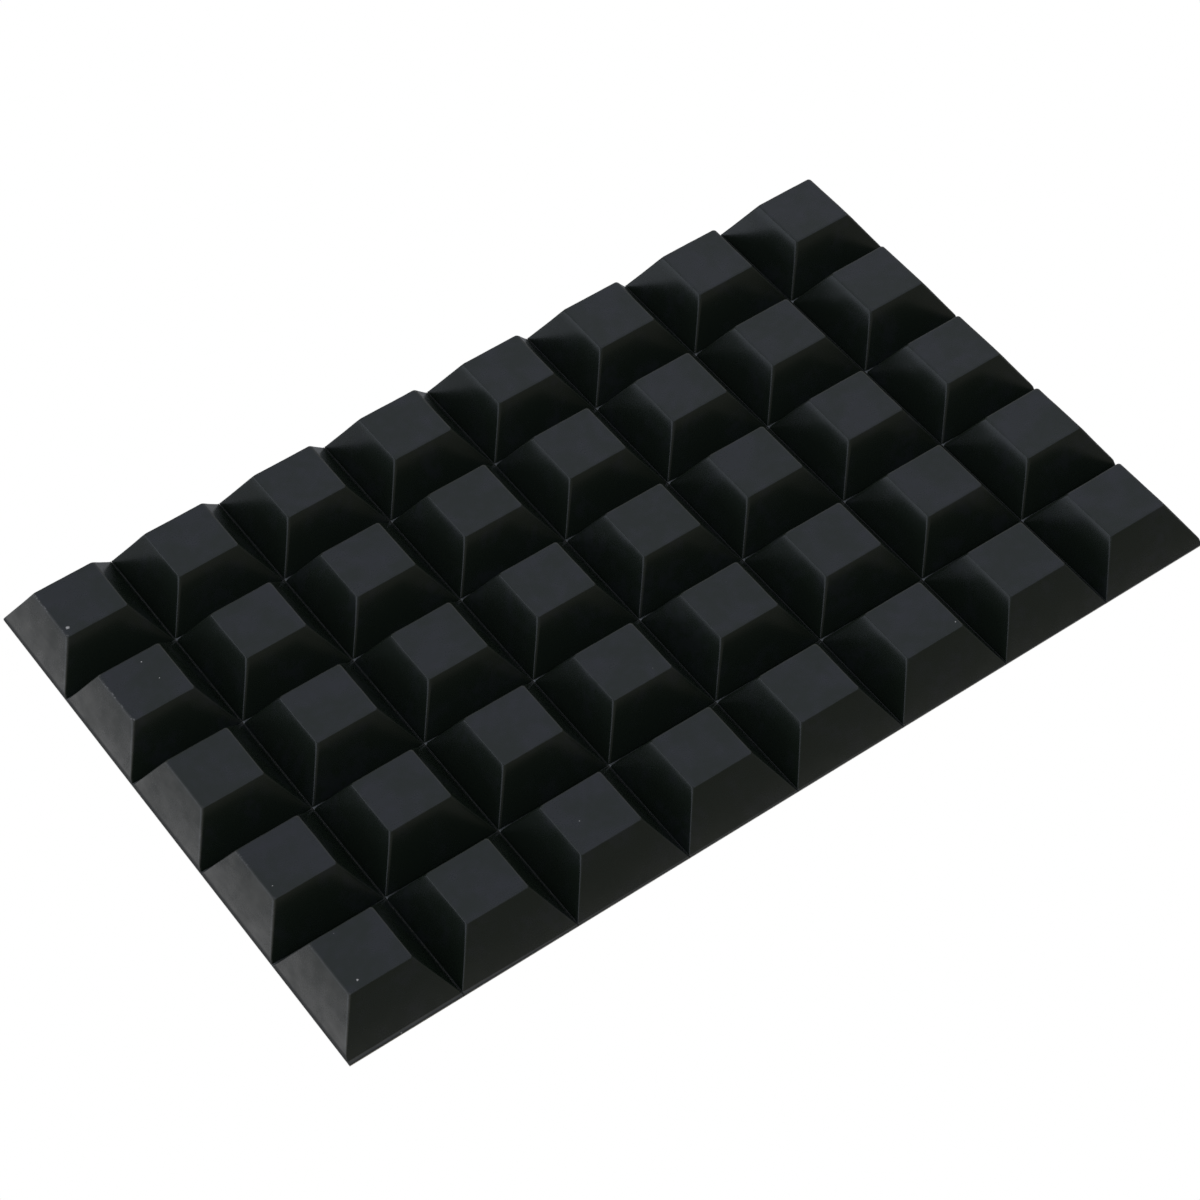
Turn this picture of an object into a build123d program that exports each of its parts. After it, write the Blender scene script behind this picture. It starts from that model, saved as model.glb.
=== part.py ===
from build123d import *
import os

# A sheet of forty square rubber grip studs on one release liner, the way a stud-type
# stomp pad is sold. Each stud is a tapered square moulding on a thin skin, with its own
# film of adhesive. The cuts between the studs go through rubber and adhesive and stop
# at the liner.
#
# Frame: origin at the centre of the liner's underside, +X along the columns of the
# sheet (its length), +Y across it, +Z up out of the tread. Millimetres.

# ---- the grid ----
columns = 8
rows = 5
pitch = 20.0
kerf = 0.1  # width of each cut between neighbouring studs
end_trim = 0.5  # taken off the foot of the outermost studs at both ends of the sheet
front_reach = 0.7  # how much further the front row's feet run out than the other rows'

# ---- the layers, from the underside up ----
liner_thickness = 0.1
adhesive_thickness = 0.12
skin_thickness = 0.2  # rubber left under the grooves
stud_height = 8.0  # rubber only, skin included

# ---- the stud ----
tread_side = 10.8
foot_corner_radius = 0.4
tread_corner_radius = 1.0
tread_edge_radius = 0.45

# ---- worked out from the above ----
foot_side = pitch - kerf
adhesive_z = liner_thickness
rubber_z = adhesive_z + adhesive_thickness
groove_z = rubber_z + skin_thickness
tread_z = rubber_z + stud_height
sheet_length = columns * pitch - 2 * end_trim
sheet_width = rows * pitch - kerf + front_reach
grid_y = front_reach / 2  # middle of the grid, behind the middle of the sheet

os.makedirs("parts", exist_ok=True)


def column_x(column):
    """Centre of a column's pitch square, column 1 at the -X end."""
    return (column - (columns + 1) / 2) * pitch


def row_y(row):
    """Centre of a row's pitch square, row 1 at the -Y side."""
    return (row - (rows + 1) / 2) * pitch + grid_y


def foot_depth(row):
    """Size across the sheet of a stud's foot and of its film, more in the front row."""
    return foot_side + (front_reach if row == 1 else 0)


def foot_y(row):
    """Middle of that foot, whose back edge is the pitch square's in every row."""
    return row_y(row) - (foot_depth(row) - foot_side) / 2


def end_plane(side):
    """Plane of the trimmed end on that side of the sheet, facing outwards."""
    return Plane(origin=(side * sheet_length / 2, 0, 0), z_dir=(side, 0, 0))


# ---- release liner: one sheet of coated paper under everything ----
with BuildPart() as release_liner:
    with BuildSketch(Plane.XY):
        Rectangle(sheet_length, sheet_width)
    extrude(amount=liner_thickness)

release_liner.part.label = "release_liner"
export_step(release_liner.part, "parts/release_liner.step")


# ---- adhesive: one square film under each stud, kept by column ----
for column in range(1, columns + 1):
    with BuildPart() as adhesive:
        with BuildSketch(Plane(origin=(column_x(column), 0, adhesive_z))):
            for row in range(1, rows + 1):
                with Locations((0, foot_y(row))):
                    Rectangle(foot_side, foot_depth(row))
        extrude(amount=adhesive_thickness)
        split(bisect_by=end_plane(-1), keep=Keep.BOTTOM)
        split(bisect_by=end_plane(1), keep=Keep.BOTTOM)

    adhesive.part.label = f"adhesive_c{column}"
    export_step(adhesive.part, f"parts/adhesive_c{column}.step")


# ---- studs: skin, tapered block and softened tread, each a solid of its own ----
for column in range(1, columns + 1):
    for row in range(1, rows + 1):
        x = column_x(column)

        with BuildPart() as stud:
            with BuildSketch(Plane(origin=(x, foot_y(row), rubber_z))):
                RectangleRounded(foot_side, foot_depth(row), foot_corner_radius)
            extrude(amount=skin_thickness)
            with BuildSketch(Plane(origin=(x, foot_y(row), groove_z))):
                RectangleRounded(foot_side, foot_depth(row), foot_corner_radius)
            with BuildSketch(Plane(origin=(x, row_y(row), tread_z))):
                RectangleRounded(tread_side, tread_side, tread_corner_radius)
            loft(ruled=True)
            fillet(stud.faces().sort_by(Axis.Z)[-1].edges(), tread_edge_radius)
            split(bisect_by=end_plane(-1), keep=Keep.BOTTOM)
            split(bisect_by=end_plane(1), keep=Keep.BOTTOM)

        stud.part.label = f"stud_r{row}_c{column}"
        export_step(stud.part, f"parts/stud_r{row}_c{column}.step")

print(f"sheet {sheet_length:.1f} x {sheet_width:.1f} x {tread_z:.2f} mm")
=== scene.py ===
"""Looks of a kiss-cut sheet of square rubber grip studs on its release liner."""

import logging
import math
from dataclasses import dataclass, field
from enum import Enum
from typing import Any, Sequence

import bpy
import numpy as np
from mathutils import Matrix, Vector, noise


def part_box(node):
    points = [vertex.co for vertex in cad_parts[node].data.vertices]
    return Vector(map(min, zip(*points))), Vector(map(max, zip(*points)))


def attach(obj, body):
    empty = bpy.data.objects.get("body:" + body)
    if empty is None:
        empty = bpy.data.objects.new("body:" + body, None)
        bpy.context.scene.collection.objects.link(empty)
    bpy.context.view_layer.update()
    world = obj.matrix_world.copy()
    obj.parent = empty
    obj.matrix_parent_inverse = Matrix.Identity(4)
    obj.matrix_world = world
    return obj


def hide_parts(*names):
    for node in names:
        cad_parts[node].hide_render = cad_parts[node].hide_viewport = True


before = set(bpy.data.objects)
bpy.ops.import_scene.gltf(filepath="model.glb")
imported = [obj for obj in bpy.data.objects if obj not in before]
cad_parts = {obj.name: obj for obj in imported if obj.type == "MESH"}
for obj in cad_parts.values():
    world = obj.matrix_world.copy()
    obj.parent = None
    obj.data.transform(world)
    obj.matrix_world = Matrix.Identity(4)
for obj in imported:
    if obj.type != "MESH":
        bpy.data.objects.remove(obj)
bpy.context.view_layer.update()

MM = 0.001
TINY = 0.0001 * MM
Colour = tuple[float, float, float]
Place = tuple[float, float, float]
Points = np.ndarray

log = logging.getLogger("grip_sheet")


# ---------------------------------------------------------------- the sheet's plan


class Side(Enum):
    """The four sides of a stud, each with its outward direction in plan."""

    SOUTH = (0, -1)
    EAST = (1, 0)
    NORTH = (0, 1)
    WEST = (-1, 0)


@dataclass(frozen=True)
class SheetPlan:
    """Where the CAD frame puts the layers, the studs and the edges of the sheet, in metres."""

    rows: int
    columns: int
    pitch: float
    foot_side: float
    low: Vector
    high: Vector
    adhesive_z: float
    rubber_z: float
    grid_y: float
    lip_left: float = 0.47 * MM
    lip_right: float = 0.15 * MM
    lip_taper: tuple[float, float] = (0.10, 0.27)
    front_skew: float = 0.25 * MM

    @classmethod
    def from_frame(cls) -> "SheetPlan":
        """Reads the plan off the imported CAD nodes."""
        names = [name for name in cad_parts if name.startswith("stud_")]
        rows = max(int(name.split("_r")[1].split("_")[0]) for name in names)
        columns = max(int(name.split("_c")[1]) for name in names)
        first, first_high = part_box("stud_r2_c2")
        second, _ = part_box("stud_r2_c3")
        liner_low, liner_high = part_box("release_liner")
        pitch = second.x - first.x
        return cls(
            rows=rows,
            columns=columns,
            pitch=pitch,
            foot_side=first_high.x - first.x,
            low=liner_low,
            high=liner_high,
            adhesive_z=liner_high.z,
            rubber_z=first.z,
            grid_y=(first.y + first_high.y) / 2 + ((rows + 1) / 2 - 2) * pitch,
        )

    def centre(self, row: int, column: int) -> tuple[float, float]:
        """Centre of a stud's pitch square in plan, counted from 1 at the near left."""
        return (
            (column - (self.columns + 1) / 2) * self.pitch,
            (row - (self.rows + 1) / 2) * self.pitch + self.grid_y,
        )

    def is_edge(self, side: Side, row: int, column: int) -> bool:
        """True if that side of the stud is an edge of the whole sheet."""
        return {
            Side.SOUTH: row == 1,
            Side.NORTH: row == self.rows,
            Side.WEST: column == 1,
            Side.EAST: column == self.columns,
        }[side]

    @property
    def front_reach(self) -> float:
        """How far the front row's feet run out past their pitch squares."""
        _, middle = self.centre(1, 1)
        return middle - self.foot_side / 2 - self.low.y

    def along(self, points: Points) -> Points:
        """How far along the sheet each point is, 0 at its left end and 1 at its right."""
        return np.clip((points[:, 0] - self.low.x) / (self.high.x - self.low.x), 0, 1)

    def lip(self, points: Points) -> Points:
        """Width of skin that the front studs' blocks leave in front of them."""
        start, end = self.lip_taper
        fade = np.clip((self.along(points) - start) / (end - start), 0, 1)
        return self.lip_left + (self.lip_right - self.lip_left) * fade**2 * (3 - 2 * fade)

    def run_out(self, points: Points, straight: float, reach: Points) -> Points:
        """Moves the front side of a front stud's outline, with its two corners, outwards.

        Args:
            points: rows of x, y, z in metres, the outline.
            straight: how far its corners start from its centre.
            reach: how far each point moves if it is on the front side.

        Returns:
            The changed outline.
        """
        _, middle = self.centre(1, 1)
        made = points.copy()
        made[:, 1] -= reach * (middle - points[:, 1] > straight - TINY)
        return made

    def trim(self, points: Points, inset: float = 0.0) -> tuple[Points, Points]:
        """Cuts points back to the sheet's trimmed outline.

        The front edge was trimmed a little askew, so it takes more off towards the right.

        Args:
            points: rows of x, y, z in metres.
            inset: how far inside the outline the points have to stay.

        Returns:
            The points inside the outline, and 1 for each that was cut back or 0.
        """
        cut = points.copy()
        askew = self.front_skew * self.along(points)
        cut[:, 0] = np.clip(points[:, 0], self.low.x + inset, self.high.x - inset)
        cut[:, 1] = np.clip(points[:, 1], self.low.y + askew + inset, self.high.y - inset)
        moved = np.abs(cut - points).max(axis=1) > TINY
        return cut, moved.astype(float)


# ---------------------------------------------------------------- shader graphs


class Graph:
    """A material's node tree, filled through one method."""

    def __init__(self, name: str) -> None:
        """Starts an empty material of that name."""
        self.material = bpy.data.materials.new(name)
        self.material.use_nodes = True
        self.tree = self.material.node_tree
        self.tree.nodes.clear()

    def node(
        self,
        kind: str,
        settings: dict[str, Any] | None = None,
        inputs: dict[int | str, Any] | None = None,
    ) -> bpy.types.Node:
        """Adds one node.

        Args:
            kind: the node's type, without its ShaderNode prefix.
            settings: properties set before the sockets.
            inputs: a value, socket or wire for each input named or numbered.

        Returns:
            The node.
        """
        made = self.tree.nodes.new("ShaderNode" + kind)
        for key, value in (settings or {}).items():
            setattr(made, key, value)
        for key, value in (inputs or {}).items():
            source = value.socket if isinstance(value, Wire) else value
            if isinstance(source, bpy.types.NodeSocket):
                self.tree.links.new(source, made.inputs[key])
            else:
                made.inputs[key].default_value = source
        return made

    def wire(
        self,
        kind: str,
        settings: dict[str, Any] | None = None,
        inputs: dict[int | str, Any] | None = None,
        output: int | str = 0,
    ) -> "Wire":
        """Adds one node and wraps the number that it gives."""
        return Wire(self, self.node(kind, settings, inputs).outputs[output])

    def mix(self, factor: "Wire", low: Any, high: Any) -> bpy.types.NodeSocket:
        """A colour that goes from low to high with the factor.

        Args:
            factor: 0 to 1.
            low: colour socket or three numbers where the factor is 0.
            high: colour socket or three numbers where the factor is 1.

        Returns:
            The mixed colour's socket.
        """
        ends = [(*end, 1) if isinstance(end, tuple) else end for end in (low, high)]
        made = self.node("Mix", {"data_type": "RGBA"}, {0: factor, 6: ends[0], 7: ends[1]})
        return made.outputs[2]

    def noise(self, place: bpy.types.NodeSocket, per_metre: float, detail: float) -> "Wire":
        """Smooth noise from 0 to 1, with that many waves to a metre."""
        inputs = {"Vector": place, "Scale": per_metre, "Detail": detail}
        return self.wire("TexNoise", {}, inputs)

    def finish(self, **inputs: Any) -> bpy.types.Material:
        """Ends the tree in a Principled shader with these inputs, and returns the material."""
        named = {key.replace("_", " "): value for key, value in inputs.items()}
        shader = self.node("BsdfPrincipled", inputs=named)
        self.node("OutputMaterial", inputs={"Surface": shader.outputs[0]})
        return self.material


@dataclass(frozen=True)
class Wire:
    """A number socket that can be used in an expression."""

    graph: Graph
    socket: bpy.types.NodeSocket

    def _math(self, operation: str, *values: Any, clamp: bool = False) -> "Wire":
        """Adds a Math node on these values."""
        settings = {"operation": operation, "use_clamp": clamp}
        return self.graph.wire("Math", settings, dict(enumerate(values)))

    def __add__(self, other: Any) -> "Wire":
        """Sum with a number or wire."""
        return self._math("ADD", self, other)

    __radd__ = __add__

    def __sub__(self, other: Any) -> "Wire":
        """Difference from a number or wire."""
        return self._math("SUBTRACT", self, other)

    def __rsub__(self, other: Any) -> "Wire":
        """A number less this wire."""
        return self._math("SUBTRACT", other, self)

    def __mul__(self, other: Any) -> "Wire":
        """Product with a number or wire."""
        return self._math("MULTIPLY", self, other)

    __rmul__ = __mul__

    def clamp(self) -> "Wire":
        """The value held between 0 and 1."""
        return self._math("ADD", self, 0.0, clamp=True)

    def above(self, low: float, high: float) -> "Wire":
        """0 under low, 1 over high, and smooth between them."""
        return self.graph.wire(
            "MapRange",
            {"interpolation_type": "SMOOTHSTEP"},
            {0: self, 1: low, 2: high, 3: 0.0, 4: 1.0},
        )


# ---------------------------------------------------------------- finishes


class Mark(str, Enum):
    """Names of the point attributes that meshes hand to their finishes."""

    # Rubbed edges, lightened also as a painted highlight.
    WEAR = "edge_wear"
    # Knife cuts; on the liner this also carries the painted shade in the kerfs.
    CUT = "knife_cut"
    # Powder on the sheet's ends and front, also painted light.
    HANDLED = "handled_end"
    TREAD = "tread"
    # Where each short cut starts: a painted glint on its burr.
    START = "knife_start"


@dataclass(frozen=True)
class Speck:
    """A grain of pale dust on the rubber: where it lies and its radius, in millimetres."""

    place: Place
    radius: float


@dataclass(frozen=True)
class RubberFinish:
    """Moulded black rubber: satin, with edges lightened by rubbing and by a painted highlight, grey
    knife cuts, powdery pale ends that also carry painted light, a painted glint where the short cuts
    start, and dust.
    """

    name: str = "moulded_black_rubber"
    black: Colour = (0.0084, 0.0138, 0.0082)
    bloom: Colour = (0.0200, 0.0218, 0.0275)
    # Grey of rubbed edges, also the painted highlight along them.
    rubbed_and_highlight: Colour = (0.052, 0.056, 0.056)
    torn: Colour = (0.026, 0.027, 0.025)
    # Pale powder from handling, also standing in as painted light on the ends and front.
    chalk_and_light: Colour = (0.197, 0.188, 0.168)
    # Pale grey where each short cut starts: a painted glint on the raised burr.
    curl_glint: Colour = (0.25, 0.26, 0.26)
    dust: Colour = (0.62, 0.60, 0.57)
    roughness: float = 0.27
    grain_per_m: float = 4200.0
    fine_per_m: float = 2600.0
    patch_per_m: float = 700.0
    cloud_per_m: float = 170.0
    ragged_per_m: float = 6000.0
    strays_per_m: float = 420.0
    blotch_per_m: float = 300.0
    stroke_per_m: Place = (2400.0, 420.0, 700.0)
    stroke_turn: Place = (0.5, 0.9, 0.3)
    cloud_weight: float = 0.6
    patch_weight: float = 0.3
    stain_weight: float = 0.4
    stroke_weight: float = 0.45
    blotch_weight: float = 1.1
    crumb_weight: float = 0.30
    stray_weight: float = 0.22
    grain_depth: float = 0.0005 * MM
    cloud_depth: float = 0.010 * MM
    speck_depth: float = 0.03 * MM
    grains: tuple[Speck, ...] = (
        Speck((-74.40, 36.55, 8.2), 0.34),
        Speck((-73.05, -43.62, 8.2), 0.20),
        Speck((-68.63, 23.99, 8.2), 0.14),
        Speck((-68.00, 19.69, 8.2), 0.11),
        Speck((-74.26, -22.84, 8.2), 0.11),
        Speck((-32.19, -39.90, 8.2), 0.11),
        Speck((34.74, -43.79, 8.2), 0.13),
        Speck((-70.70, -50.20, 0.40), 0.15),
    )

    def material(self) -> bpy.types.Material:
        """Builds the node material."""
        graph = Graph(self.name)
        place = graph.node("TexCoord").outputs["Object"]
        wear_and_highlight, cut, handled_and_lit, tread, start = (
            graph.wire("Attribute", {"attribute_name": mark.value}, output="Fac") for mark in Mark
        )
        cloud = graph.noise(place, self.cloud_per_m, 2.0)
        grain = graph.noise(place, self.grain_per_m, 2.0)
        patch = graph.noise(place, self.patch_per_m, 2.0)
        fine = graph.noise(place, self.fine_per_m, 1.0)

        clouds = cloud.above(0.38, 0.66) * self.cloud_weight
        mottle = clouds + patch.above(0.42, 0.72) * self.patch_weight
        stain = cloud.above(0.44, 0.68) * patch.above(0.30, 0.60) * self.stain_weight
        colour = graph.mix(tread * mottle + (1 - tread) * stain, self.black, self.bloom)
        # Edges lightened by rubbing and by a painted highlight along the tread edges and flank corners.
        rub_and_highlight = (wear_and_highlight * (0.45 + patch.above(0.35, 0.65) * 0.55)).clamp()
        colour = graph.mix(rub_and_highlight, colour, self.rubbed_and_highlight)
        # Paler ends and front: handling powder and painted light.
        chalky_and_lit = (handled_and_lit * (0.85 + self.scuffs(graph, place))).clamp()
        colour = graph.mix(chalky_and_lit, colour, self.chalk_and_light)
        colour = graph.mix(cut * (0.5 + fine * 0.6), colour, self.torn)
        # A painted glint where each short cut starts, on its raised burr.
        colour = graph.mix((start * (0.4 + patch)).clamp(), colour, self.curl_glint)
        crumbs = (wear_and_highlight * handled_and_lit * 30.0).clamp() * cloud.above(0.50, 0.60)
        crumbs = crumbs * fine.above(0.56, 0.60) * self.crumb_weight
        specks = self.specks(graph, place) + self.strays(graph, place) * tread
        specks = (specks + crumbs).clamp()
        colour = graph.mix(specks, colour, self.dust)

        roughness = self.roughness + (cloud - 0.5) * 0.08 + (grain - 0.5) * 0.05
        roughness = (roughness + cut * 0.25 + specks * 0.4).clamp()
        height = grain * self.grain_depth + cloud * self.cloud_depth + specks * self.speck_depth
        bump = graph.node("Bump", {}, {"Strength": 0.9, "Distance": 1.0, "Height": height})
        return graph.finish(Base_Color=colour, Roughness=roughness, Normal=bump.outputs[0], IOR=1.5)

    def scuffs(self, graph: Graph, place: bpy.types.NodeSocket) -> Wire:
        """Uneven paleness on the sheet's ends, part powder and part painted light, in blotches with
        finer slanting scratches over them.
        """
        turned = graph.node(
            "Mapping",
            {},
            {"Vector": place, "Rotation": self.stroke_turn, "Scale": self.stroke_per_m},
        )
        stroke = graph.noise(turned.outputs[0], 1.0, 3.0)
        blotch = graph.noise(place, self.blotch_per_m, 4.0)
        return (stroke - 0.5) * self.stroke_weight + (blotch - 0.5) * self.blotch_weight

    def specks(self, graph: Graph, place: bpy.types.NodeSocket) -> Wire:
        """The few grains of dust, each irregular in outline."""
        ragged = graph.noise(place, self.ragged_per_m, 1.0)
        first, *others = (self.speck(graph, place, ragged, speck) for speck in self.grains)
        return sum(others, first).clamp()

    def speck(self, graph: Graph, place: bpy.types.NodeSocket, ragged: Wire, speck: Speck) -> Wire:
        """One grain of dust.

        Args:
            graph: the material's graph.
            place: where a point of the rubber is.
            ragged: noise that roughens the grain's outline.
            speck: the grain.

        Returns:
            1 on the grain and 0 off it.
        """
        spot = tuple(value * MM for value in speck.place)
        away = graph.wire("VectorMath", {"operation": "DISTANCE"}, {0: place, 1: spot}, "Value")
        radius = speck.radius * MM
        return 1.0 - (away + ragged * radius).above(radius, radius * 1.5)

    def strays(self, graph: Graph, place: bpy.types.NodeSocket) -> Wire:
        """Fainter, smaller grains that lie anywhere on the treads."""
        cells = graph.node("TexVoronoi", {}, {"Vector": place, "Scale": self.strays_per_m})
        near = 1.0 - Wire(graph, cells.outputs["Distance"]).above(0.025, 0.045)
        pick = graph.node("SeparateColor", {}, {0: cells.outputs["Color"]})
        return near * Wire(graph, pick.outputs[0]).above(0.88, 0.90) * self.stray_weight


@dataclass(frozen=True)
class AdhesiveFinish:
    """Clear pressure-sensitive film: glossy, pale, with trapped air."""

    name: str = "adhesive_film"
    clear: Colour = (0.42, 0.41, 0.37)
    milky: Colour = (0.60, 0.59, 0.55)
    bubble: Colour = (0.78, 0.77, 0.74)
    roughness: float = 0.16
    flow_per_m: float = 260.0
    bubbles_per_m: float = 520.0
    flow_depth: float = 0.02 * MM
    bubble_depth: float = 0.03 * MM

    def material(self) -> bpy.types.Material:
        """Builds the node material."""
        graph = Graph(self.name)
        place = graph.node("TexCoord").outputs["Object"]
        flow = graph.noise(place, self.flow_per_m, 3.0)
        cells = graph.node("TexVoronoi", {}, {"Vector": place, "Scale": self.bubbles_per_m})
        air = 1.0 - Wire(graph, cells.outputs["Distance"]).above(0.10, 0.22)
        air = air * flow.above(0.5, 0.62)
        colour = graph.mix(flow.above(0.3, 0.7), self.clear, self.milky)
        colour = graph.mix(air * 0.6, colour, self.bubble)
        roughness = (self.roughness + flow * 0.12 + air * 0.2).clamp()
        height = flow * self.flow_depth - air * self.bubble_depth
        bump = graph.node("Bump", {}, {"Strength": 0.8, "Distance": 1.0, "Height": height})
        return graph.finish(
            Base_Color=colour, Roughness=roughness, Normal=bump.outputs[0], IOR=1.47, Coat_Weight=0.3
        )


@dataclass(frozen=True)
class LinerFinish:
    """Silicone-coated glassine paper: cream, smooth, with a cloudy formation of fibres."""

    name: str = "release_paper"
    cream: Colour = (0.62, 0.55, 0.42)
    pale: Colour = (0.72, 0.66, 0.53)
    fibre: Colour = (0.50, 0.43, 0.32)
    # Near black along the cuts: painted shade down the kerfs, over the paper's real knife mark.
    scored_and_shaded: Colour = (0.060, 0.058, 0.052)
    roughness: float = 0.42
    cloud_per_m: float = 310.0
    fibre_per_m: Place = (380.0, 4200.0, 4200.0)
    cloud_depth: float = 0.02 * MM
    fibre_depth: float = 0.006 * MM

    def material(self) -> bpy.types.Material:
        """Builds the node material."""
        graph = Graph(self.name)
        place = graph.node("TexCoord").outputs["Object"]
        cut = graph.wire("Attribute", {"attribute_name": Mark.CUT.value}, output="Fac")
        cloud = graph.noise(place, self.cloud_per_m, 5.0)
        drawn = graph.node("Mapping", {}, {"Vector": place, "Scale": self.fibre_per_m})
        fibre = graph.noise(drawn.outputs[0], 1.0, 3.0)
        colour = graph.mix(cloud.above(0.35, 0.65), self.cream, self.pale)
        colour = graph.mix(fibre.above(0.58, 0.75) * 0.5, colour, self.fibre)
        # Painted shade in the kerfs between studs, where the knife cut into the paper.
        colour = graph.mix(cut, colour, self.scored_and_shaded)
        roughness = (self.roughness + (cloud - 0.5) * 0.2 + cut * 0.3).clamp()
        height = fibre * self.fibre_depth + cloud * self.cloud_depth
        bump = graph.node("Bump", {}, {"Strength": 0.7, "Distance": 1.0, "Height": height})
        return graph.finish(Base_Color=colour, Roughness=roughness, Normal=bump.outputs[0], IOR=1.45)


# ---------------------------------------------------------------- meshes


@dataclass
class Shell:
    """A closed mesh made of rings of points, each ring as long as the last."""

    name: str
    vertices: list[Points] = field(default_factory=list)
    faces: list[Sequence[int]] = field(default_factory=list)
    marks: dict[Mark, list[Points]] = field(default_factory=lambda: {mark: [] for mark in Mark})
    count: int = 0

    def ring(self, points: Points, marks: dict[Mark, Points]) -> int:
        """Adds a ring of points with their marks, and returns the number of its first point."""
        start = self.count
        self.vertices.append(points)
        for mark in Mark:
            self.marks[mark].append(marks.get(mark, np.zeros(len(points))))
        self.count += len(points)
        return start

    def bridge(self, lower: int, upper: int, size: int) -> None:
        """Joins two rings with quads that face outwards when the rings run anticlockwise."""
        for i in range(size):
            j = (i + 1) % size
            self.faces.append((lower + i, lower + j, upper + j, upper + i))

    def close(self, starts: Sequence[int], size: int) -> None:
        """Joins rings from the lowest up, and caps the lowest and the highest."""
        for lower, upper in zip(starts, starts[1:]):
            self.bridge(lower, upper, size)
        self.faces.append(tuple(reversed(range(starts[0], starts[0] + size))))
        self.faces.append(tuple(range(starts[-1], starts[-1] + size)))

    def build(self, material: bpy.types.Material) -> bpy.types.Object:
        """Makes the object, smooth and marked, in the scene's collection."""
        mesh = bpy.data.meshes.new(self.name)
        mesh.from_pydata(np.concatenate(self.vertices).tolist(), [], self.faces)
        mesh.shade_smooth()
        for mark in Mark:
            values = np.concatenate(self.marks[mark]).astype(np.float32)
            mesh.attributes.new(mark.value, "FLOAT", "POINT").data.foreach_set("value", values)
        mesh.validate()
        mesh.materials.append(material)
        made = bpy.data.objects.new(self.name, mesh)
        bpy.context.scene.collection.objects.link(made)
        return made


class Seed(float, Enum):
    """Where each use of the noise starts in its pattern, so that no two look alike."""

    BURR = 3.1
    FILM = 5.0
    SIDEWAYS = 7.0
    LENGTHWAYS = 17.0
    SUNK = 27.0
    EDGE = 37.0


def waver(points: Points, per_metre: float, seed: float) -> Points:
    """Smooth noise from -1 to 1 at each point.

    Args:
        points: rows of x, y, z in metres.
        per_metre: how many waves there are to a metre.
        seed: where its pattern starts.

    Returns:
        One value for each point.
    """
    offset = Vector((seed, -seed, 0.5 * seed))
    return np.array([noise.noise(Vector(p) * per_metre + offset) for p in points])


@dataclass(frozen=True)
class Outline:
    """A rounded square, walked anticlockwise from its south side in a fixed number of points."""

    side_steps: int = 14
    corner_steps: int = 6
    share_corner: float = 0.25
    share_from: float = 0.80
    share_over: float = 0.19

    @property
    def size(self) -> int:
        """How many points the outline has."""
        return 4 * (self.side_steps + self.corner_steps)

    def walk(self, half: float, corner: float) -> Points:
        """Points in plan around a rounded square.

        Args:
            half: half the square's side.
            corner: radius of its corners.

        Returns:
            Rows of x, y, centred on the origin.
        """
        run = 0.5 - 0.5 * np.cos(np.pi * np.arange(self.side_steps) / self.side_steps)
        turn = np.arange(self.corner_steps) / self.corner_steps * math.pi / 2
        straight = half - corner
        parts = []
        for quarter in range(4):
            edge = np.stack([-straight + 2 * straight * run, np.full_like(run, -half)], 1)
            arc = np.stack([straight + corner * np.sin(turn), -straight - corner * np.cos(turn)], 1)
            block = np.concatenate([edge, arc])
            angle = quarter * math.pi / 2
            cos, sin = math.cos(angle), math.sin(angle)
            parts.append(block @ np.array([[cos, sin], [-sin, cos]]))
        return np.concatenate(parts)

    def side_share(self, side: Side) -> Points:
        """1 along one side, fading to 0 round its two corners."""
        reach = self.walk(1.0, self.share_corner) @ np.array(side.value)
        return np.clip((reach - self.share_from) / self.share_over, 0, 1)

    def corner_share(self) -> Points:
        """1 in the middle of each corner, 0 on the sides."""
        step = np.arange(self.size) % (self.size // 4) - self.side_steps
        share = np.where(step >= 0, np.sin(np.pi * step / self.corner_steps), 0)
        return np.clip(share, 0, 1)


@dataclass(frozen=True)
class Ring:
    """One level of a stud's outline, with the marks that its surface carries there."""

    half: float
    height: float
    corner: float
    worn_and_highlight: float = 0.0
    cut: float = 0.0
    skin: bool = False
    tread: float = 0.0


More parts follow.
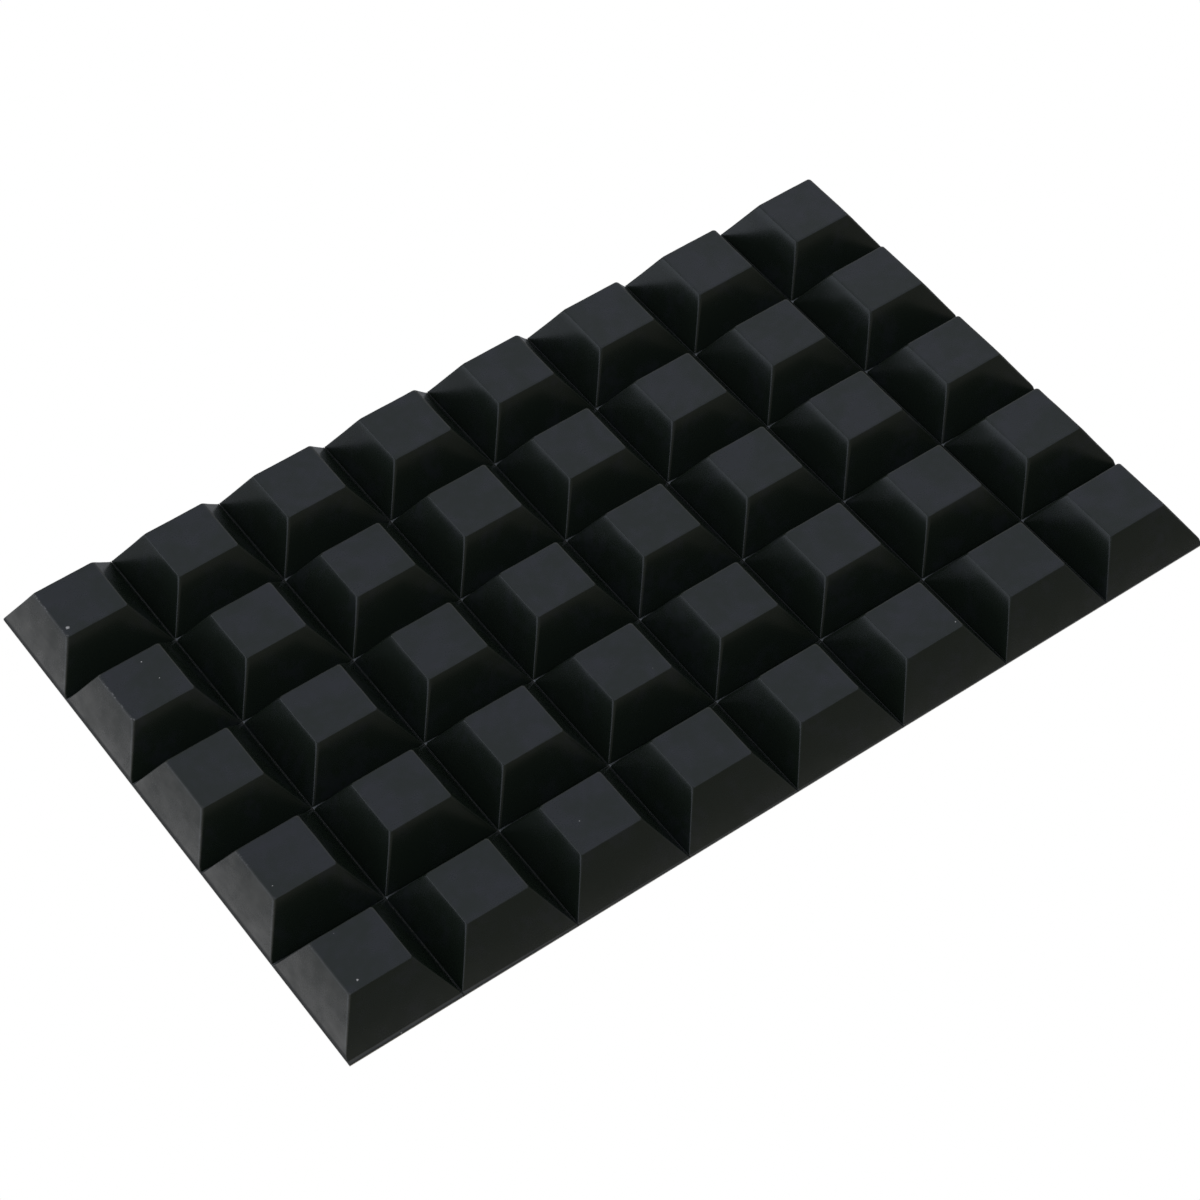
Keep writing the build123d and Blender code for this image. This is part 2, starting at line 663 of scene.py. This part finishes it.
@dataclass(frozen=True)
class StudShape:
    """Sizes of a stud that show: heights are from the bottom of the groove, in metres."""

    foot_half: float
    rise: float
    skin: float = 0.2 * MM
    tread_half: float = 5.4 * MM
    skin_corner: float = 0.12 * MM
    foot_corner: float = 0.28 * MM
    tread_corner: float = 0.50 * MM
    bow: float = 0.03 * MM
    shoulder: float = 0.055 * MM
    shoulder_from: float = 0.82
    edge_from: float = 0.974
    edge_probe: float = 0.01
    skin_edge: float = 0.03 * MM
    skin_edge_cut: float = 0.15
    land: float = 0.06 * MM
    foot_round: float = 0.30 * MM
    dish: float = 0.03 * MM
    burr_ring: int = 1
    root_steps: int = 4
    edge_steps: int = 7
    flank_levels: tuple[float, ...] = (0.1, 0.15, 0.25, 0.4, 0.55, 0.68, 0.74, 0.79, 0.84, 0.88, 0.92)
    tread_levels: tuple[float, ...] = (0.97, 0.9, 0.75, 0.55, 0.35, 0.15)

    @classmethod
    def from_frame(cls, plan: SheetPlan) -> "StudShape":
        """Fits the shape to an inner stud's CAD node."""
        low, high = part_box("stud_r2_c2")
        return cls(foot_half=plan.foot_side / 2, rise=high.z - low.z - cls.skin)

    def flank(self, share: float) -> tuple[float, float]:
        """Half side and height of the flank, a share of the way from groove to tread."""
        straight = self.foot_half + (self.tread_half - self.foot_half) * share
        bowed = 4 * self.bow * share * (1 - share)
        over = max(share - self.shoulder_from, 0) / (1 - self.shoulder_from)
        return straight - bowed - self.shoulder * over**2, self.rise * share

    def corner(self, share: float) -> float:
        """Corner radius in plan, a share of the way from groove to tread."""
        return self.foot_corner + (self.tread_corner - self.foot_corner) * share

    def rings(self) -> list[Ring]:
        """The stud's levels, from the skin's underside up and in to the middle of the tread."""
        made = [
            Ring(self.foot_half, height, self.skin_corner, cut=1.0, skin=True)
            for height in (-self.skin, 0.0)
        ]
        edge = self.foot_half - self.skin_edge
        made.append(Ring(edge, 0.0, self.skin_corner, cut=self.skin_edge_cut, skin=True))
        made.append(Ring(self.foot_half - self.land, 0.0, self.foot_corner))
        root = self.foot_round / self.rise
        for step in range(1, self.root_steps + 1):
            part = step / self.root_steps
            half, height = self.flank(root * part)
            pull = self.land * (1 - part) ** 2
            made.append(Ring(half - pull, height, self.corner(root * part)))
        for share in self.flank_levels:
            half, height = self.flank(share)
            made.append(Ring(half, height, self.corner(share)))
        made.extend(self.tread_edge())
        return made

    def tread_edge(self) -> list[Ring]:
        """The rounded edge, tangent to flank and tread, and the tread in to its middle."""
        half, height = self.flank(self.edge_from)
        below, lower = self.flank(self.edge_from - self.edge_probe)
        slope = math.atan2(below - half, height - lower)
        radius = (self.rise - height) / (1 - math.sin(slope))
        middle = half - radius * math.cos(slope)
        made = []
        for step in range(self.edge_steps + 1):
            part = step / self.edge_steps
            angle = slope + (math.pi / 2 - slope) * part
            reach = middle + radius * math.cos(angle)
            level = self.rise - radius * (1 - math.sin(angle))
            # Lightest at the middle of the rounded edge: wear and a painted highlight.
            worn_and_highlight = math.sin(math.pi * part) ** 2
            made.append(Ring(reach, level, self.tread_corner, worn_and_highlight=worn_and_highlight, tread=part))
        for share in self.tread_levels:
            sunk = self.dish * (1 - share**2)
            made.append(Ring(middle * share, self.rise - sunk, self.tread_corner * share, tread=1.0))
        return made


@dataclass
class Stud:
    """One grip stud: a skin cut square, a tapered block and a tread."""

    plan: SheetPlan
    shape: StudShape
    row: int
    column: int
    outline: Outline = Outline()
    burr: float = 0.08 * MM
    long_burr: float = 0.12
    burr_per_m: float = 420.0
    burr_mean: float = 0.8
    burr_swing: float = 0.9
    burr_least: float = 0.1
    burr_most: float = 1.3
    tick_length: float = 2.2 * MM
    uneven: float = 0.035 * MM
    uneven_per_m: float = 210.0
    uneven_from: float = 0.25
    sink_per_m: float = 150.0
    edge_waver: float = 0.02 * MM
    edge_per_m: float = 1100.0
    groove_level: float = 0.01
    edge_level: float = 0.95
    flank_level: float = 0.97
    # How far the tread edge and the flank corners are lightened: rubbing wear and a painted highlight.
    edge_rub_and_highlight: float = 0.30
    corner_rub_and_highlight: float = 0.02
    # Paleness of the front lip and feet, and its fade up the ends: powder and painted light.
    lip_chalk_and_light: float = 0.48
    foot_chalk_and_light: float = 0.12
    chalk_and_light_fade: float = 0.60

    @property
    def node(self) -> str:
        """Name of the CAD node that this stud stands for."""
        return f"stud_r{self.row}_c{self.column}"

    def build(self, material: bpy.types.Material) -> bpy.types.Object:
        """Makes the stud's mesh in place."""
        shell = Shell(f"{self.node}_rubber")
        size = self.outline.size
        rim = self.outline.corner_share()
        groove_z = self.plan.rubber_z + self.shape.skin
        ends = self.sides_share((Side.WEST, Side.EAST), at_edge=True)
        front = self.outline.side_share(Side.SOUTH) * (self.row == 1)
        rings = self.shape.rings()
        starts = []
        for index, ring in enumerate(rings):
            plan = self.outline.walk(ring.half, ring.corner) + self.middle
            points = np.column_stack([plan, np.full(size, groove_z + ring.height)])
            share = ring.height / self.shape.rise
            if self.row == 1:
                reach = self.front_reach(points, ring)
                points = self.plan.run_out(points, ring.half - ring.corner, reach)
            if index == self.shape.burr_ring:
                points[:, 2] += self.burr * self.burr_share(points)
            points = self.settle(points, share)
            inset = min(self.shape.foot_half - ring.half, self.shape.land)
            points, trimmed = self.plan.trim(points, inset)
            on_flank = 0.0 < share < self.flank_level
            marks = {
                # Rubbed edges, also painted as a highlight on the tread edge and the flank corners.
                Mark.WEAR: np.maximum(self.edge_rub_and_highlight * ring.worn_and_highlight, self.corner_rub_and_highlight * rim * on_flank),
                Mark.CUT: np.maximum(ring.cut, trimmed),
                # Powder on the ends and front, also painted light.
                Mark.HANDLED: self.handled_and_lit(points, ring, ends, front),
                Mark.TREAD: np.full(size, ring.tread),
                # Painted glint where each short cut starts, at the groove's floor.
                Mark.START: self.set_off(points) * (share < self.groove_level),
            }
            starts.append(shell.ring(points, marks))
        shell.close(starts, size)
        return shell.build(material)

    @property
    def middle(self) -> Points:
        """Centre of the stud's pitch square in plan."""
        return np.array(self.plan.centre(self.row, self.column))

    def sides_share(self, sides: Sequence[Side], at_edge: bool) -> Points:
        """Which points lie along certain sides of the stud.

        Args:
            sides: the sides to look at.
            at_edge: takes those at the edge of the sheet if true, or the others.

        Returns:
            For each point of an outline, 1 along such a side, fading to 0 round its corners.
        """
        chosen = [side for side in sides if self.plan.is_edge(side, self.row, self.column) == at_edge]
        return sum((self.outline.side_share(side) for side in chosen), np.zeros(self.outline.size))

    def front_reach(self, points: Points, ring: Ring) -> Points:
        """How far a front stud's front side lies beyond the other studs' at a ring."""
        if ring.skin:
            return np.full(len(points), self.plan.front_reach)
        left = 1 - min(max(ring.height / self.shape.rise, 0), 1)
        return (self.plan.front_reach - self.plan.lip(points)) * left

    def handled_and_lit(self, points: Points, ring: Ring, ends: Points, front: Points) -> Points:
        """How pale each point of a ring is, from 0 to 1: powder from handling, and painted light on the
        sheet's ends and front, paler towards the foot.

        Args:
            points: rows of x, y, z in metres, the ring; not used.
            ring: its level.
            ends: 1 on a side that is a trimmed end of the sheet.
            front: 1 on a side that is the sheet's front.

        Returns:
            One value for each point.
        """
        share = ring.height / self.shape.rise
        if ring.skin or share < self.groove_level:
            return np.maximum(self.lip_chalk_and_light * front, ends)
        foot = self.foot_chalk_and_light * front * (1 - share) ** 3
        return np.maximum(ends * (1 - self.chalk_and_light_fade * share), foot) * (1 - ring.tread)

    def set_off(self, points: Points) -> Points:
        """1 where the knife set off on each short cut, fading along it."""
        short_cut = self.sides_share((Side.SOUTH, Side.NORTH), at_edge=False)
        start = self.middle[0] - self.shape.foot_half
        return short_cut * np.clip(1 - (points[:, 0] - start) / self.tick_length, 0, 1)

    def burr_share(self, points: Points) -> Points:
        """How far the knife raised its burr, mostly where it set off, and less along its way."""
        long_cut = self.long_burr * self.outline.side_share(Side.WEST)
        along = np.maximum(long_cut, self.set_off(points))
        uneven = self.burr_mean + self.burr_swing * waver(points, self.burr_per_m, Seed.BURR)
        return along * np.clip(uneven, self.burr_least, self.burr_most)

    def settle(self, points: Points, share: float) -> Points:
        """Gives the moulding its small unevenness, more on the tread than at the foot."""
        if share <= 0:
            return points
        made = points.copy()
        amount = self.uneven * min(share / self.uneven_from, 1)
        made[:, 0] += amount * waver(points, self.uneven_per_m, Seed.SIDEWAYS + self.row)
        made[:, 1] += amount * waver(points, self.uneven_per_m, Seed.LENGTHWAYS + self.column)
        made[:, 2] -= 0.5 * amount * (1 + waver(points, self.sink_per_m, Seed.SUNK))
        if self.edge_level < share < 1:
            fine = self.edge_waver * waver(points, self.edge_per_m, Seed.EDGE)
            made[:, :2] -= (made[:, :2] - self.middle) * (fine / self.shape.tread_half)[:, None]
        return made


@dataclass
class AdhesivePatches:
    """One column's adhesive films, a thin square under each stud."""

    plan: SheetPlan
    column: int
    outline: Outline = Outline(side_steps=24, corner_steps=4)
    corner: float = 0.25 * MM
    pinch: float = 0.02 * MM
    ragged: float = 0.03 * MM
    ragged_per_m: float = 500.0
    slack: float = 0.1 * MM

    def build(self, material: bpy.types.Material) -> bpy.types.Object:
        """Makes the films of the column as one piece of separate shells."""
        shell = Shell(f"adhesive_film_c{self.column}")
        half = self.plan.foot_side / 2
        size = self.outline.size
        layers = (
            (half, self.plan.adhesive_z),
            (half - self.pinch, (self.plan.adhesive_z + self.plan.rubber_z) / 2),
            (half, self.plan.rubber_z),
        )
        for row in range(1, self.plan.rows + 1):
            centre = np.array(self.plan.centre(row, self.column))
            starts = []
            for reach, height in layers:
                plan = self.outline.walk(reach, self.corner) + centre
                points = np.column_stack([plan, np.full(size, height)])
                inward = self.ragged * (1 + waver(points, self.ragged_per_m, Seed.FILM)) / half
                points[:, :2] -= (points[:, :2] - centre) * inward[:, None]
                if row == 1:
                    straight = reach - self.corner - self.slack
                    points = self.plan.run_out(points, straight, np.full(size, self.plan.front_reach))
                points, _ = self.plan.trim(points)
                starts.append(shell.ring(points, {}))
            shell.close(starts, size)
        return shell.build(material)


@dataclass
class StudStrip:
    """A column of studs with their adhesive, which comes off the liner together."""

    plan: SheetPlan
    shape: StudShape
    column: int

    def build(self, rubber: bpy.types.Material, adhesive: bpy.types.Material) -> None:
        """Makes the strip's pieces and puts them on its body."""
        body = f"strip_c{self.column}"
        for row in range(1, self.plan.rows + 1):
            stud = Stud(self.plan, self.shape, row, self.column)
            piece = stud.build(rubber)
            self.dress(piece, body, stud.node)
        film = AdhesivePatches(self.plan, self.column).build(adhesive)
        self.dress(film, body, f"adhesive_c{self.column}")

    def dress(self, piece: bpy.types.Object, body: str, node: str) -> None:
        """Rides a piece on its body in place of its CAD node.

        Args:
            piece: the finished piece.
            body: the body that it moves with.
            node: the CAD node that it stands for.
        """
        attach(piece, body)
        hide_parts(node)
        log.info("%s: %d faces, on %s", piece.name, len(piece.data.polygons), body)


@dataclass
class ReleaseLiner:
    """The sheet of coated paper under the studs, dented where the knife went through to it, and painted
    dark there as the shade in the cuts.
    """

    plan: SheetPlan
    score_depth: float = 0.03 * MM
    score_half: float = 0.22 * MM
    steps_per_stud: int = 6

    def lines(self, low: float, high: float, middle: float, count: int) -> list[tuple[float, float]]:
        """Grid lines along one direction.

        Args:
            low: first edge of the sheet.
            high: last edge of the sheet.
            middle: middle of the grid of studs.
            count: how many studs lie along it.

        Returns:
            For each line: its place, and its share of the score's depth.
        """
        first = middle - count * self.plan.pitch / 2
        cuts = [first + self.plan.pitch * i for i in range(count + 1)]
        made = {low: 0.0, high: 0.0}
        for start in cuts[:-1]:
            for step in range(1, self.steps_per_stud):
                made[start + self.plan.pitch * step / self.steps_per_stud] = 0.0
        for cut in cuts[1:-1]:
            made[cut] = 1.0
            made[cut - self.score_half] = 0.0
            made[cut + self.score_half] = 0.0
        return sorted(made.items())

    def build(self, material: bpy.types.Material) -> None:
        """Makes the liner's mesh in place and puts it on its body."""
        plan = self.plan
        across = self.lines(plan.low.x, plan.high.x, 0.0, plan.columns)
        along = self.lines(plan.low.y, plan.high.y, plan.grid_y, plan.rows)
        wide, deep = len(across), len(along)
        top, score = [], []
        for y, score_y in along:
            for x, score_x in across:
                depth = max(score_x, score_y)
                top.append((x, y, plan.adhesive_z - self.score_depth * depth))
                score.append(depth)
        upper, _ = plan.trim(np.array(top))
        lower = upper.copy()
        lower[:, 2] = plan.low.z
        shell = Shell("release_liner_paper")
        # The knife's marks also carry the painted shade in the kerfs.
        over = shell.ring(upper, {Mark.CUT: np.array(score)})
        under = shell.ring(lower, {})
        for j in range(deep - 1):
            for i in range(wide - 1):
                corner = j * wide + i
                quad = (corner, corner + 1, corner + wide + 1, corner + wide)
                shell.faces.append(tuple(over + n for n in quad))
                shell.faces.append(tuple(under + n for n in reversed(quad)))
        rim = list(range(wide))
        rim += [j * wide + wide - 1 for j in range(1, deep)]
        rim += [(deep - 1) * wide + i for i in range(wide - 2, -1, -1)]
        rim += [j * wide for j in range(deep - 2, 0, -1)]
        for here, after in zip(rim, rim[1:] + rim[:1]):
            shell.faces.append((under + here, under + after, over + after, over + here))
        piece = shell.build(material)
        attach(piece, "liner")
        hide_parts("release_liner")
        log.info("%s: %d faces, on liner", piece.name, len(piece.data.polygons))


# ---------------------------------------------------------------- studio


@dataclass(frozen=True)
class Softbox:
    """A soft area light: where it stands, what it faces, and how bright its face looks."""

    name: str
    place: Place
    aim: Place
    width: float
    height: float
    radiance: float
    colour: Colour = (1.0, 1.0, 1.0)

    def build(self) -> None:
        """Hangs the light in the scene."""
        data = bpy.data.lights.new(self.name, "AREA")
        data.shape = "RECTANGLE"
        data.size, data.size_y = self.width, self.height
        data.energy = self.radiance * math.pi * self.width * self.height
        data.color = self.colour
        made = bpy.data.objects.new(self.name, data)
        made.location = self.place
        facing = Vector(self.aim) - Vector(self.place)
        made.rotation_euler = facing.to_track_quat("-Z", "Y").to_euler()
        bpy.context.scene.collection.objects.link(made)


@dataclass(frozen=True)
class Studio:
    """A pale floor, soft light mostly from the left and above, and the camera."""

    azimuth: float = -32.77
    elevation: float = 51.03
    roll: float = -3.19
    lens: float = 103.5
    sensor: float = 36.0
    nearest: float = 0.01
    farthest: float = 50.0
    distance: float = 0.538
    aim: Place = (-2.55 * MM, -2.67 * MM, 0.42 * MM)
    floor_half: float = 8.0
    floor_drop: float = 0.02 * MM
    floor_glow: float = 0.07
    floor_grey: float = 0.38
    surround: Colour = (0.210, 0.206, 0.186)

    def build(self) -> None:
        """Sets the floor, the lights, the surround and the camera."""
        self.lay_floor()
        for box in self.softboxes():
            box.build()
        world = bpy.data.worlds.new("surround")
        world.use_nodes = True
        world.node_tree.nodes["Background"].inputs[0].default_value = (*self.surround, 1)
        bpy.context.scene.world = world
        bpy.context.scene.view_settings.view_transform = "Standard"
        self.set_camera()

    def softboxes(self) -> list[Softbox]:
        """The studio's lights."""
        return [
            Softbox("left_wall", (-1.3, 0.9, 0.36), (0, 0.9, 0.20), 2.8, 0.72, 0.79, (0.91, 1.0, 1.22)),
            Softbox("left_front", (-1.3, -1.0, 0.36), (0, -0.3, 0.10), 1.0, 0.72, 0.25),
            Softbox("ceiling", (0.25, 0.45, 1.5), (0.25, 0.45, 0), 3.4, 3.4, 0.34, (0.82, 0.93, 1.22)),
            Softbox("right_back", (1.5, 1.3, 0.9), (0, 0, 0), 2.4, 1.0, 0.35),
        ]

    def lay_floor(self) -> None:
        """Makes the pale floor just under the liner."""
        half, level = self.floor_half, -self.floor_drop
        corners = [(x * half, y * half, level) for x, y in ((-1, -1), (1, -1), (1, 1), (-1, 1))]
        mesh = bpy.data.meshes.new("floor")
        mesh.from_pydata(corners, [], [(0, 1, 2, 3)])
        mesh.materials.append(self.floor_material())
        floor = bpy.data.objects.new("floor", mesh)
        bpy.context.scene.collection.objects.link(floor)

    def floor_material(self) -> bpy.types.Material:
        """White where it is seen, and a softer grey in the light that it gives and mirrors."""
        graph = Graph("pale_floor")
        given = graph.node(
            "BsdfPrincipled",
            {},
            {
                "Base Color": (self.floor_grey, self.floor_grey, self.floor_grey, 1),
                "Roughness": 0.7,
                "Emission Color": (1, 1, 1, 1),
                "Emission Strength": self.floor_glow,
            },
        )
        seen = graph.node("Emission", {}, {"Strength": 1.0})
        path = graph.node("LightPath")
        both = graph.node(
            "MixShader",
            {},
            {0: path.outputs["Is Camera Ray"], 1: given.outputs[0], 2: seen.outputs[0]},
        )
        graph.node("OutputMaterial", {}, {"Surface": both.outputs[0]})
        return graph.material

    def set_camera(self) -> None:
        """Places the camera by its angles about the point that it looks at."""
        turn, rise = math.radians(self.azimuth), math.radians(self.elevation)
        back = Vector(
            (
                math.sin(turn) * math.cos(rise),
                -math.cos(turn) * math.cos(rise),
                math.sin(rise),
            )
        )
        data = bpy.data.cameras.new("camera")
        data.lens, data.sensor_width = self.lens, self.sensor
        data.clip_start, data.clip_end = self.nearest, self.farthest
        camera = bpy.data.objects.new("camera", data)
        level = (-back).to_track_quat("-Z", "Y").to_matrix().to_4x4()
        tilt = Matrix.Rotation(math.radians(self.roll), 4, "Z")
        camera.matrix_world = Matrix.Translation(Vector(self.aim) + back * self.distance) @ level @ tilt
        bpy.context.scene.collection.objects.link(camera)
        bpy.context.scene.camera = camera


def main() -> None:
    """Builds the sheet layer by layer, then the studio round it."""
    logging.basicConfig(level=logging.INFO, format="%(name)s: %(message)s")
    plan = SheetPlan.from_frame()
    shape = StudShape.from_frame(plan)
    rubber, adhesive = RubberFinish().material(), AdhesiveFinish().material()
    ReleaseLiner(plan).build(LinerFinish().material())
    for column in range(1, plan.columns + 1):
        StudStrip(plan, shape, column).build(rubber, adhesive)
    Studio().build()


if __name__ == "__main__":
    main()
